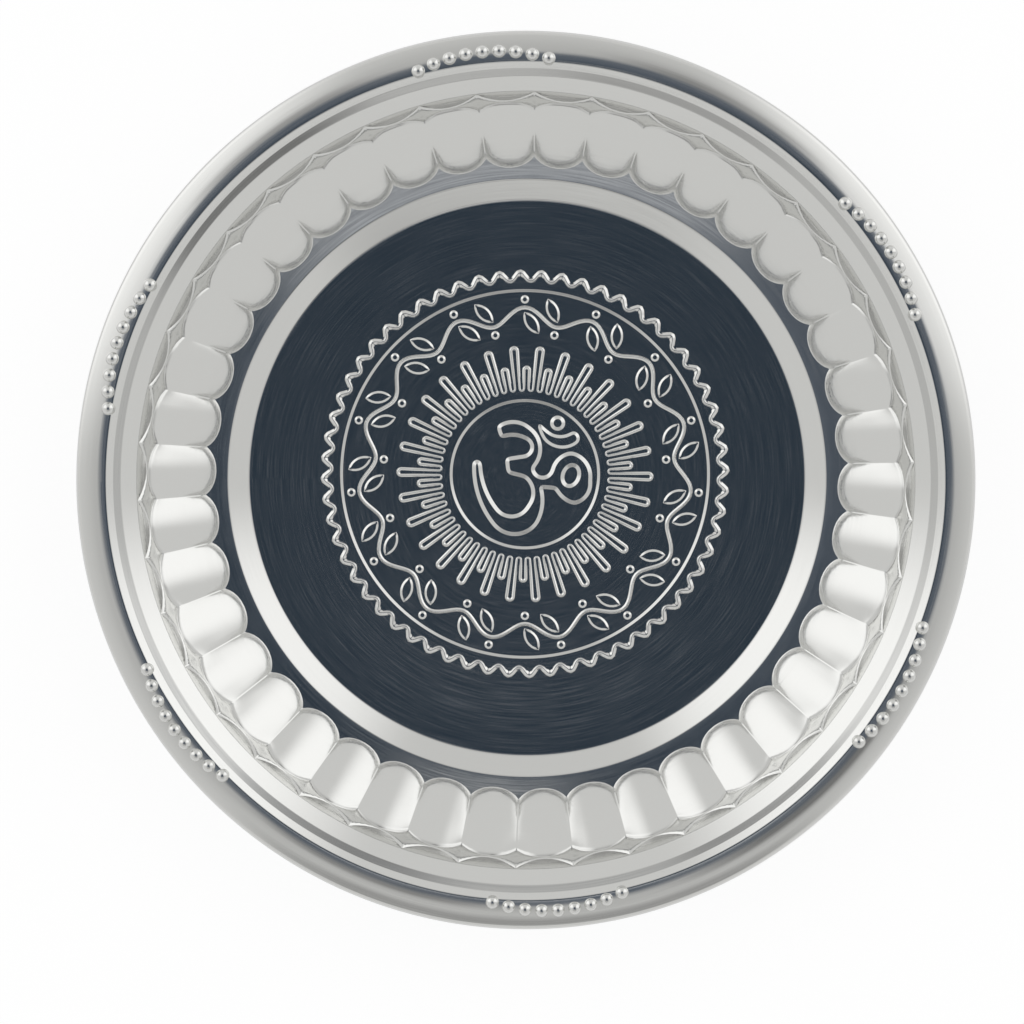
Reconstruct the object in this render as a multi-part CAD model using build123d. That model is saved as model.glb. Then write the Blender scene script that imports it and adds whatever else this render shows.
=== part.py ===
from build123d import *
import os
from math import asin, cos, degrees, pi, radians, sin, tan

os.makedirs("parts", exist_ok=True)

# Puja thali in millimetres. Z is up, the floor stands on Z = 0 and the medallion reads with +Y at its top.

# Sheet and overall size
plate_diameter = 220.0
plate_height = 25.0
sheet = 0.5

# Rim, from the rolled edge inwards
curl_radius = 1.5
curl_sweep = 268.0
wire_clearance = 0.05
rim_width = 7.7
rim_inner_slope = 5.0
rim_slope = 15.0
rim_slope_width = 3.9
rim_corner_radius = 0.9
rim_crown_radius = 16.0

# Bands between the rim and the flutes: width across the plate and drop
step_width = 1.4
step_drop = 1.5
cove_width = 2.0
cove_drop = 0.5
band_width = 3.4
band_drop = 3.1
wave_width = 3.1
wave_drop = 5.4
band_corner_radius = 1.2

# Fluted wall: each flute is a cone that starts on the ledge and flattens towards its head
wall_width = 11.8
wall_foot_radius = 1.6
flute_count = 42
flute_turn = 5.7
flute_reach = 3.0
flute_foot_crown = 1.5
flute_head_crown = 0.8
flute_head_rise = 0.5
flute_buried_foot = 4.0
flute_buried_head = 3.0

# Ledge and the step down to the floor
ledge_width = 6.0
ledge_drop = 0.73
floor_step_width = 5.1
floor_step_drop = 2.6
floor_corner_radius = 1.6

# Beads in groups along the inner edge of the rim; each group bows outwards in its middle
bead_group_angles = (-5.6, 57.8, 118.9, 175.5, 234.7, 288.9)
beads_in_group = 9
bead_radius = 1.7
bead_pitch = 4.0
bead_rise = 1.15
bead_end_inset = 6.7
bead_bow = 1.9

# Medallion struck in the floor, a little off the plate's centre
medallion_x = -0.6
medallion_y = 0.9
medallion_margin = 4.5
relief = 0.4
relief_inset = 0.22

# Wavy line round the medallion
wave_line_radius = 49.3
wave_line_swing = 1.05
wave_line_count = 60
wave_line_width = 1.5
wave_line_turn = 4.7

# Two ring ridges, steep inside and falling slowly outside
outer_ring_radius = 46.3
inner_ring_radius = 18.85
ring_rise = 0.3
ring_steep_width = 0.7
ring_fall_width = 2.4

# Creeper between the rings: a waving stem with a leaf and a dot in each bend
creeper_radius = 39.6
creeper_swing = 2.1
creeper_count = 15
stem_width = 0.9
leaf_length = 6.0
leaf_width = 2.6
leaf_lean = 34.0
leaf_start = 0.7
berry_radius = 0.8
berry_gap = 2.0

# Sunburst: one line that runs out and back round every ray
ray_count = 60
long_ray_radius = 31.8
short_ray_radius = 26.8
ray_foot_radius = 20.9
ray_line_width = 0.62
ray_turn = 7.0

# Om sign: chains of arcs through points from the centre of the medallion
om_upper_back = ((-6.6, 11.9), (-3.3, 13.1), (1.1, 11.6), (3.8, 7.2), (1.9, 1.7))
om_arm_top = ((1.9, 1.7), (4.4, -0.9), (7.0, 1.3), (8.8, 4.1), (11.6, 5.3), (15.4, 2.8), (16.3, -1.6))
om_arm_base = ((16.3, -1.6), (14.9, -5.9), (12.3, -7.2), (9.7, -5.9), (7.8, -3.4))
om_lower_back = (
    (3.9, -3.1), (4.4, -7.2), (2.9, -12.2), (-2.3, -15.0), (-7.6, -12.7), (-11.4, -6.0), (-12.7, 2.2)
)
om_tip = ((-12.7, 2.2), (-12.0, 3.3), (-11.2, 2.4))
om_lower_front = (
    (-11.2, 2.4), (-10.2, -3.0), (-7.4, -8.3), (-3.2, -10.6), (0.9, -8.0), (2.1, -4.0), (0.0, -0.5)
)
om_notch = ((0.0, -0.5), (-4.1, 0.5), (-4.5, 3.8), (-0.6, 4.4))
om_upper_front = ((-0.6, 4.4), (1.9, 6.7), (0.2, 9.1), (-2.6, 9.9), (-6.0, 9.3))
om_eye_x = 11.5
om_eye_y = -0.3
om_eye_length = 5.0
om_eye_width = 3.8
om_eye_lean = 70.0
om_moon_top = ((3.6, 12.4), (4.9, 11.2), (6.3, 10.1), (8.9, 9.4), (12.1, 10.5))
om_moon_base = ((12.1, 10.5), (13.3, 9.5), (13.2, 8.2), (9.2, 6.8), (5.1, 8.7), (4.2, 10.3), (3.6, 12.4))
om_dot_x = 8.2
om_dot_y = 12.8
om_dot_radius = 1.4

outer_radius = plate_diameter / 2
rim_inner = outer_radius - rim_width
step_inner = rim_inner - step_width
cove_inner = step_inner - cove_width
band_inner = cove_inner - band_width
wave_inner = band_inner - wave_width
wall_inner = wave_inner - wall_width
flute_inner = wall_inner - flute_reach
ledge_inner = wall_inner - ledge_width
floor_radius = ledge_inner - floor_step_width

floor_top = sheet
ledge_low = floor_top + floor_step_drop
wall_low = ledge_low + ledge_drop
flute_low = wall_low - ledge_drop * flute_reach / ledge_width
step_low = plate_height - step_drop
cove_low = step_low - cove_drop
band_low = cove_low - band_drop
flute_high = band_low - wave_drop

curl_centre_radius = outer_radius - curl_radius
curl_start_radius = curl_centre_radius + curl_radius * sin(radians(rim_slope))
rim_knee = curl_start_radius - rim_slope_width
rim_knee_height = plate_height - (rim_knee - rim_inner) * tan(radians(rim_inner_slope))
curl_start_height = rim_knee_height - rim_slope_width * tan(radians(rim_slope))
curl_centre_height = curl_start_height - curl_radius * cos(radians(rim_slope))

medallion = Location((medallion_x, medallion_y, 0))
medallion_edge = wave_line_radius + wave_line_swing + medallion_margin
underside_depth = plate_diameter / 2


def around(radius, clockwise):
    """Point at a radius and an angle clockwise from +Y."""
    return (radius * sin(radians(clockwise)), radius * cos(radians(clockwise)))


def sheet_line():
    """Upper line of the sheet from the axis to the start of the curl."""
    points = [
        (0, floor_top),
        (floor_radius, floor_top),
        (ledge_inner, ledge_low),
        (wall_inner, wall_low),
        (wave_inner, flute_high),
        (band_inner, band_low),
        (cove_inner, cove_low),
        (step_inner, step_low),
        (rim_inner, plate_height),
        (rim_knee, rim_knee_height),
        (curl_start_radius, curl_start_height),
    ]
    radii = [
        floor_corner_radius,
        floor_corner_radius,
        wall_foot_radius,
        0,
        band_corner_radius,
        band_corner_radius,
        band_corner_radius / 2,
        rim_corner_radius,
        rim_crown_radius,
    ]
    return FilletPolyline(*points, radius=radii)


def filled_below(line, ends, reach):
    """Solid of revolution of everything under a line from the axis, closed off past its end points."""
    floor = -underside_depth
    border = Polyline(*ends, (ends[-1].X + reach, floor), (0, floor), line @ 0)
    face = make_face(line.edges() + border.edges())
    return revolve(Plane.XZ * face, Axis.Z)


def bow_radius(half, crown):
    """Radius of a bow that rises by a crown over its half width."""
    return (half**2 + crown**2) / (2 * crown)


def flute(skin):
    """Cone along the wall with both ends buried, thinned by a skin, at the first place."""
    foot = Vector(flute_inner, 0, flute_low)
    wall = (Vector(wave_inner, 0, flute_high) - foot).normalized()
    head = Vector(wave_inner, 0, flute_high) + Vector(-wall.Z, 0, wall.X) * flute_head_rise
    along = (head - foot).normalized()
    inward = Vector(-along.Z, 0, along.X)
    foot_radius = bow_radius(pi * flute_inner / flute_count, flute_foot_crown)
    head_radius = bow_radius(pi * wave_inner / flute_count, flute_head_crown)
    foot_axis = foot - inward * foot_radius
    axis = head - inward * head_radius - foot_axis
    lean = asin((head_radius - foot_radius) / axis.length)
    low = -flute_buried_foot
    high = (head - foot).length + flute_buried_head
    sides = []
    for place in (low, high):
        reach = (foot_radius - skin) * cos(lean) + place * sin(lean)
        sides.append((reach, place * cos(lean) - (foot_radius - skin) * sin(lean)))
    outline = Polyline((0, sides[0][1]), *sides, (0, sides[1][1]), close=True)
    cone = revolve(Plane.XZ * make_face(outline), Axis.Z)
    return Plane(foot_axis, x_dir=(0, 1, 0), z_dir=axis) * cone


def flutes(skin):
    """All lobes of the wall."""
    first = flute(skin)
    lobes = []
    for number in range(flute_count):
        turn = 90 - flute_turn - number * 360 / flute_count
        lobes.append(Rot(0, 0, turn) * first)
    return lobes


def bead_places():
    """Angle and radius of every bead."""
    places = []
    middle = (beads_in_group - 1) / 2
    for group_angle in bead_group_angles:
        for number in range(beads_in_group):
            side = (number - middle) / middle
            radius = outer_radius - bead_end_inset + bead_bow * (1 - side**2)
            pitch_angle = degrees(bead_pitch / (outer_radius - bead_end_inset))
            places.append((group_angle + (number - middle) * pitch_angle, radius))
    return places


def beads(skin):
    """Round beads standing in the rim."""
    height = plate_height + bead_rise - bead_radius
    balls = []
    for angle, radius in bead_places():
        x, y = around(radius, angle)
        balls.append(Pos(x, y, height) * Sphere(bead_radius - skin))
    return balls


def wavy_loop(radius, swing, count, turn):
    """Closed chain of arcs that swings out and in round the medallion."""
    quarter = 90 / count
    arcs = []
    for number in range(2 * count):
        middle = turn + number * 2 * quarter
        side = 1 if number % 2 == 0 else -1
        start = around(radius, middle - quarter)
        peak = around(radius + side * swing, middle)
        end = around(radius, middle + quarter)
        arcs.append(ThreePointArc(start, peak, end))
    return arcs


def wavy_line(radius, swing, count, turn, width):
    """Band of even radial width along a wavy loop."""
    outside = make_face(wavy_loop(radius + width / 2, swing, count, turn))
    inside = make_face(wavy_loop(radius - width / 2, swing, count, turn))
    return outside - inside


def ray_outline(shift):
    """Star outline that follows the rays, moved outwards by a shift."""
    half_pitch = 180 / ray_count
    points = []
    for number in range(ray_count):
        middle = ray_turn + number * 2 * half_pitch
        tip_radius = long_ray_radius if number % 2 == 0 else short_ray_radius
        for side in (-1, 1):
            angle = middle + side * half_pitch / 2
            foot = around(ray_foot_radius - shift, angle)
            tip = around(tip_radius + shift, angle)
            move = around(shift, middle + 90 * side)
            ends = [(foot[0] + move[0], foot[1] + move[1]), (tip[0] + move[0], tip[1] + move[1])]
            points.extend(ends if side == -1 else reversed(ends))
    return make_face(Polyline(*points, close=True))


def rays(width):
    """Line of the sunburst."""
    return ray_outline(width / 2) - ray_outline(-width / 2)


def leaf(shrink):
    """Pointed leaf along X from its stalk."""
    length = leaf_length - 2 * shrink
    half = leaf_width / 2 - shrink
    start = (shrink, 0)
    end = (shrink + length, 0)
    upper = ThreePointArc(start, (shrink + length / 2, half), end)
    lower = ThreePointArc(end, (shrink + length / 2, -half), start)
    return make_face(upper.edges() + lower.edges())


def creeper_leaves(shrink):
    """A leaf and a berry for each bend of the creeper."""
    shapes = []
    bends = 2 * creeper_count
    for number in range(bends):
        angle = number * 360 / bends
        side = 1 if number % 2 == 0 else -1
        x, y = around(creeper_radius + side * leaf_start, angle)
        heading = 90 - angle + 180 * (side == 1) + leaf_lean
        shapes.append(Pos(x, y) * Rot(0, 0, heading) * leaf(shrink))
        x, y = around(creeper_radius + side * (creeper_swing + berry_gap), angle)
        shapes.append(Pos(x, y) * Circle(berry_radius - shrink))
    return shapes


def arc_chain(points):
    """Arcs through every second point of a list, each by way of the point between."""
    return [ThreePointArc(*points[start:start + 3]) for start in range(0, len(points) - 2, 2)]


def om_sign():
    """Om sign as three flat shapes."""
    lines = arc_chain(om_upper_back) + arc_chain(om_arm_top) + arc_chain(om_arm_base)
    lines.append(Line(om_arm_base[-1], om_lower_back[0]))
    lines += arc_chain(om_lower_back) + arc_chain(om_tip) + arc_chain(om_lower_front)
    lines += [Polyline(*om_notch)] + arc_chain(om_upper_front)
    lines.append(Line(om_upper_front[-1], om_upper_back[0]))
    eye = Pos(om_eye_x, om_eye_y) * Rot(0, 0, om_eye_lean) * SlotOverall(om_eye_length, om_eye_width)
    body = make_face([edge for line in lines for edge in line.edges()]) - eye
    moon = make_face(arc_chain(om_moon_top) + arc_chain(om_moon_base))
    dot = Pos(om_dot_x, om_dot_y) * Circle(om_dot_radius)
    return [body, moon, dot]


def ring_ridge(radius, drop):
    """Low ring, steep on its inner side and falling slowly on its outer side."""
    base = floor_top - drop
    profile = Polyline(
        (radius - ring_steep_width, base),
        (radius, base + ring_rise),
        (radius + ring_fall_width, base),
        (radius, base - sheet / 2),
        close=True,
    )
    return revolve(Plane.XZ * make_face(profile), Axis.Z)


def raised(face, drop):
    """Flat-topped relief over a face, on a floor that lies a drop under the upper face."""
    root = sheet / 4
    solid = extrude(face, relief + root)
    return medallion * Pos(0, 0, floor_top - drop - root) * solid


def relief_rings(drop):
    """Ring ridges of the medallion."""
    return [medallion * ring_ridge(radius, drop) for radius in (outer_ring_radius, inner_ring_radius)]


def relief_lines(drop, shrink):
    """Wavy border and stem of the creeper."""
    border_width = wave_line_width - 2 * shrink
    border = wavy_line(wave_line_radius, wave_line_swing, wave_line_count, wave_line_turn, border_width)
    stem = wavy_line(creeper_radius, creeper_swing, creeper_count, 0, stem_width - 2 * shrink)
    return [raised(border, drop), raised(stem, drop)]


def relief_shapes(drop, shrink):
    """Leaves, berries and the Om sign."""
    sign = om_sign()
    if shrink:
        sign = [offset(shape, -shrink) for shape in sign]
    return [raised(shape, drop) for shape in creeper_leaves(shrink) + sign]


def curl():
    """Edge of the sheet rolled round the wire."""
    start = 90 - rim_slope
    centre = (curl_centre_radius, curl_centre_height)
    outside = CenterArc(centre, curl_radius, start, -curl_sweep)
    inside = CenterArc(centre, curl_radius - sheet, start, -curl_sweep)
    ends = [Line(outside @ 0, inside @ 0), Line(outside @ 1, inside @ 1)]
    face = make_face(outside.edges() + inside.edges() + ends[0].edges() + ends[1].edges())
    return revolve(Plane.XZ * face, Axis.Z)


def struck_disc():
    """Middle of the floor: the medallion stands on its upper face and all but the rays is hollow below."""
    disc = extrude(Circle(medallion_edge), sheet)
    disc = disc + relief_rings(0) - relief_rings(sheet)
    disc = disc + relief_shapes(0, 0) - relief_shapes(sheet, relief_inset)
    for upper, lower in zip(relief_lines(0, 0), relief_lines(sheet, relief_inset)):
        disc = disc + upper - lower
    return disc + raised(rays(ray_line_width), 0)


def pressed_plate():
    """The whole pressed sheet: everything under its upper face less everything under its lower face."""
    upper_line = sheet_line()
    lower_line = upper_line.offset_2d(sheet, side=Side.RIGHT, closed=False)
    ends = [upper_line @ 1, lower_line @ 1]
    above = filled_below(upper_line, ends, underside_depth / 2) + flutes(0) + beads(0)
    below = filled_below(lower_line, ends[1:], underside_depth) + flutes(sheet) + beads(sheet)
    plate = above - below + curl()
    plate -= extrude(Circle(medallion_edge), plate_height, both=True)
    return plate + struck_disc()


def rim_wire():
    """Round wire inside the curl."""
    wire_radius = curl_radius - sheet - wire_clearance
    return Pos(0, 0, curl_centre_height) * Torus(curl_centre_radius, wire_radius)


export_step(pressed_plate(), "parts/pressed_plate.step")
export_step(rim_wire(), "parts/rim_wire.step")
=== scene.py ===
import functools
import math

import bmesh
import bpy
from mathutils.geometry import delaunay_2d_cdt
from mathutils.kdtree import KDTree
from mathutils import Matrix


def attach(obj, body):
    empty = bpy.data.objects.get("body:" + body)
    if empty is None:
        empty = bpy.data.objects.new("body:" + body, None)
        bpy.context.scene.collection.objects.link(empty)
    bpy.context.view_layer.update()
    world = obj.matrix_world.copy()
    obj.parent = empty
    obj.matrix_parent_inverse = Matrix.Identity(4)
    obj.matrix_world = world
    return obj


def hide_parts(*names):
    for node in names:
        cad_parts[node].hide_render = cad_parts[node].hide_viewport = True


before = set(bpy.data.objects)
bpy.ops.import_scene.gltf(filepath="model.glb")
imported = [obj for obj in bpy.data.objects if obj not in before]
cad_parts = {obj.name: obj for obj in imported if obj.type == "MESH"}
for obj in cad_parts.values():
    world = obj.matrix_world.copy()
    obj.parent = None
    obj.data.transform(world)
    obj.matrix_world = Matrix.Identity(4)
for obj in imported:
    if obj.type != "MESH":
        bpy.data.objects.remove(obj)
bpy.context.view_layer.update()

mm = 0.001


def hexColour(code):
    levels = [int(code[i:i + 2], 16) / 255 for i in (0, 2, 4)]
    linear = [v / 12.92 if v <= 0.04045 else ((v + 0.055) / 1.055) ** 2.4 for v in levels]
    return (*linear, 1.0)


def addNode(tree, kind, inputs=(), **settings):
    node = tree.nodes.new(kind)
    for name, value in settings.items():
        setattr(node, name, value)
    for name, value in inputs.items() if isinstance(inputs, dict) else enumerate(inputs):
        if isinstance(value, bpy.types.Node):
            value = value.outputs[0]
        if isinstance(value, bpy.types.NodeSocket):
            tree.links.new(value, node.inputs[name])
        else:
            node.inputs[name].default_value = value
    return node


def meshObject(name, points, faces=()):
    mesh = bpy.data.meshes.new(name)
    mesh.from_pydata(points, [], faces)
    thing = bpy.data.objects.new(name, mesh)
    bpy.context.scene.collection.objects.link(thing)
    return thing


def clockPoint(radius, clockwise):
    angle = math.radians(clockwise)
    return (radius * math.sin(angle), radius * math.cos(angle))


# Stainless steel, mirror polished after spinning: a clear mirror with fine lines round the plate.
# Real lines are under 0.1 mm wide; they are drawn at 0.3 mm so that they show.
steelFinish = {"name": "polished_stainless_steel", "colour": "e8e8e6", "smooth": 0.07, "rough": 0.2,
               "lineMm": 0.3, "runTurns": 4.0, "bump": 0.035}
# Plain steel wire, drawn through a die: dull grey with marks along its run
wireFinish = {"name": "drawn_steel_wire", "colour": "9b9c9c", "smooth": 0.3, "rough": 0.48,
              "lineMm": 0.2, "runTurns": 3.0, "bump": 0.05}
steelMarks = {"detail": 3.0, "faintest": 0.3, "strongest": 0.75, "deepMm": 0.02}  # both finishes


def linedSteel(finish):
    material = bpy.data.materials.new(finish["name"])
    material.use_nodes = True
    tree = material.node_tree
    add = functools.partial(addNode, tree)
    shader = tree.nodes["Principled BSDF"]
    shader.inputs["Base Color"].default_value = hexColour(finish["colour"])
    shader.inputs["Metallic"].default_value = 1.0
    place = add("ShaderNodeTexCoord").outputs["Object"]
    x, y, z = add("ShaderNodeSeparateXYZ", (place,)).outputs
    flat = add("ShaderNodeVectorMath", (place, (1, 1, 0)), operation="MULTIPLY")
    radius = add("ShaderNodeVectorMath", (flat,), operation="LENGTH").outputs["Value"]
    turn = add("ShaderNodeMath", (y, x), operation="ARCTAN2")
    across = add("ShaderNodeMath", (radius, 1 / (finish["lineMm"] * mm)), operation="MULTIPLY")
    along = add("ShaderNodeMath", (turn, finish["runTurns"]), operation="MULTIPLY")
    spot = add("ShaderNodeCombineXYZ", (across, along, z))
    noise = add("ShaderNodeTexNoise", {"Vector": spot, "Scale": 1.0, "Detail": steelMarks["detail"]})
    lines = noise.outputs["Fac"]
    rough = add("ShaderNodeMapRange", {
        "Value": lines, "From Min": steelMarks["faintest"], "From Max": steelMarks["strongest"],
        "To Min": finish["smooth"], "To Max": finish["rough"]})
    tree.links.new(rough.outputs["Result"], shader.inputs["Roughness"])
    relief = add("ShaderNodeBump", {
        "Height": lines, "Strength": finish["bump"], "Distance": steelMarks["deepMm"] * mm})
    tree.links.new(relief.outputs["Normal"], shader.inputs["Normal"])
    return material


steel = linedSteel(steelFinish)
wireSteel = linedSteel(wireFinish)
print("finishes ready")

# Sheet line in mm from the flat floor to the end of the curl; each corner has the radius of its bend.
# Points nearer than weld become one.
sheetLine = {
    "sheet": 0.5, "start": (58.0, 0.5), "outer": 110.0,
    "low": [((69.5, 0.5), 1.6), ((74.6, 3.1), 1.6)],
    "wall": [((80.6, 3.83), 0.5), ((92.4, 14.5), 3.0)],
    "high": [((95.5, 19.9), 0.8), ((98.9, 22.97), 1.2), ((100.9, 23.5), 0.6), ((102.3, 25.0), 0.9)],
    "rimInnerSlope": 5.0, "rimSlope": 15.0, "rimSlopeWidth": 3.9, "rimCrown": 16.0,
    "curlRadius": 1.5, "curlSweep": 268.0, "curlSteps": 18, "bendSteps": 5, "weld": 0.002,
}


def bendPoints(before, corner, after, radius, steps):
    into = [corner[i] - before[i] for i in (0, 1)]
    out = [after[i] - corner[i] for i in (0, 1)]
    turn = math.atan2(into[0] * out[1] - into[1] * out[0], into[0] * out[0] + into[1] * out[1])
    reach = radius * math.tan(abs(turn) / 2)
    heading = math.atan2(into[1], into[0])
    side = math.copysign(1, turn)
    start = (corner[0] - reach * math.cos(heading), corner[1] - reach * math.sin(heading))
    middle = (start[0] - side * radius * math.sin(heading), start[1] + side * radius * math.cos(heading))
    points = []
    for step in range(steps + 1):
        angle = heading - side * math.pi / 2 + turn * step / steps
        points.append((middle[0] + radius * math.cos(angle), middle[1] + radius * math.sin(angle)))
    return points


def sheetPoints():
    d = sheetLine
    slope = math.radians(d["rimSlope"])
    rimInner, rimTop = d["high"][-1][0]
    centreRadius = d["outer"] - d["curlRadius"]
    knee = centreRadius + d["curlRadius"] * math.sin(slope) - d["rimSlopeWidth"]
    kneeHeight = rimTop - (knee - rimInner) * math.tan(math.radians(d["rimInnerSlope"]))
    centreHeight = kneeHeight - d["rimSlopeWidth"] * math.tan(slope) - d["curlRadius"] * math.cos(slope)
    curl = []
    for step in range(d["curlSteps"] + 1):
        angle = math.pi / 2 - slope - math.radians(d["curlSweep"]) * step / d["curlSteps"]
        curl.append((centreRadius + d["curlRadius"] * math.cos(angle),
                     centreHeight + d["curlRadius"] * math.sin(angle)))
    parts = {"low": d["low"], "wall": d["wall"], "high": d["high"] + [((knee, kneeHeight), d["rimCrown"])]}
    spots = [d["start"]] + [corner for part in parts.values() for corner, radius in part] + [curl[0]]
    groups = {"low": [d["start"]], "wall": [], "high": []}
    number = 0
    for name, part in parts.items():
        for corner, radius in part:
            groups[name] += bendPoints(spots[number], corner, spots[number + 2], radius, d["bendSteps"])
            number += 1
    groups["high"] += curl
    return groups


def lengthsAlong(points):
    total = 0.0
    lengths = [0.0]
    for a, b in zip(points, points[1:]):
        total += math.dist(a, b)
        lengths.append(total)
    return lengths


profileGroups = sheetPoints()
profilePoints = profileGroups["low"] + profileGroups["wall"] + profileGroups["high"]
profileLengths = lengthsAlong(profilePoints)
lowCount = len(profileGroups["low"])
wallCount = len(profileGroups["wall"])
lowPlaces = profileLengths[:lowCount]
highPlaces = profileLengths[lowCount + wallCount:]
wallPlaces = profileLengths[lowCount:lowCount + wallCount]
bendCount = sheetLine["bendSteps"] + 1
wallFoot, wallHead = sum(wallPlaces[:bendCount]) / bendCount, sum(wallPlaces[bendCount:]) / bendCount

# Flutes in mm along the sheet line: arcs at foot and head, and two fine grooved lines above the heads.
# The rows are shares of the way up to the foot, from foot to head and between the lines.
fluteShape = {
    "count": 42, "columns": 12, "turn": 1.4, "crown": 0.55,
    "footPlace": wallFoot - 3.0, "footArc": 3.0, "footRound": 0.92,
    "toe": 0.1, "valleyFill": 0.68, "toeShare": 0.13, "fillShare": 0.45, "crease": 0.12, "creaseWide": 0.2,
    "headPlace": wallHead + 1.2, "headArc": 2.6,
    "linePlace": highPlaces[0] - 0.3, "lineDip": highPlaces[0] - 0.3 - wallHead - 2.0,
    "groove": 0.22, "grooveHalf": 0.2, "grooveFlat": 0.06,
    "footRows": (0.45, 0.93), "footRowsBelow": (0.6,), "lineRows": (0.3, 0.65),
    "wallRows": (0, 0.015, 0.04, 0.07, 0.11, 0.16, 0.24, 0.34, 0.46, 0.58, 0.7, 0.8, 0.88, 0.95, 1),
}


def faceRows(fine):
    f = fluteShape
    skip = 1 if fine else 2
    rows = [{"place": place} for place in lowPlaces[::skip]]
    for share in f["footRows"] if fine else f["footRowsBelow"]:
        rows.append({"place": lowPlaces[-1] * (1 - share), "foot": share})
    for share in f["wallRows"][::skip]:
        rise = math.sqrt(1 - max(0, 1 - share / f["toeShare"]) ** 2)
        fall = 0.5 + 0.5 * math.cos(math.pi * max(0, (share - f["fillShare"]) / (1 - f["fillShare"])))
        rows.append({"foot": 1 - share, "head": share, "chord": 1, "bulge": 4 * share * (1 - share),
                     "toe": rise * fall})
    if fine:
        half, flat = f["grooveHalf"], f["grooveFlat"]
        for step, depth in ((half - flat, -1), (half + flat, -1), (2 * half, 0)):
            rows.append({"place": step, "head": 1, "lift": depth * f["groove"]})
        for share in f["lineRows"]:
            rows.append({"place": 2 * half * (1 - share) - half * share, "head": 1 - share, "line": share})
        for step, depth in ((-half, 0), (-flat, -1), (flat, -1), (half, 0)):
            rows.append({"place": step, "line": 1, "lift": depth * f["groove"]})
    return rows + [{"place": place} for place in highPlaces[::skip]]


# what a row of points holds, and its unit
rowFields = {"place": mm, "foot": 1, "head": 1, "line": 1, "chord": 1, "bulge": 1, "toe": 1,
             "lift": mm, "inset": mm}


def rowsObject(name, rows, inset):
    thing = meshObject(name, [(0, 0, i * mm) for i in range(len(rows))])
    for row in rows[:-1]:
        row["inset"] = inset
    for field, scale in rowFields.items():
        values = thing.data.attributes.new(field, "FLOAT", "POINT").data
        for value, row in zip(values, rows):
            value.value = row.get(field, 0) * scale
    return thing


def profileObject():
    curve = bpy.data.curves.new("sheet_profile", "CURVE")
    curve.dimensions = "3D"
    spline = curve.splines.new("POLY")
    spline.points.add(len(profilePoints) - 1)
    for point, (radius, height) in zip(spline.points, profilePoints):
        point.co = (radius * mm, 0, height * mm, 1)
    thing = bpy.data.objects.new("sheet_profile", curve)
    bpy.context.scene.collection.objects.link(thing)
    return thing


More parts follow.
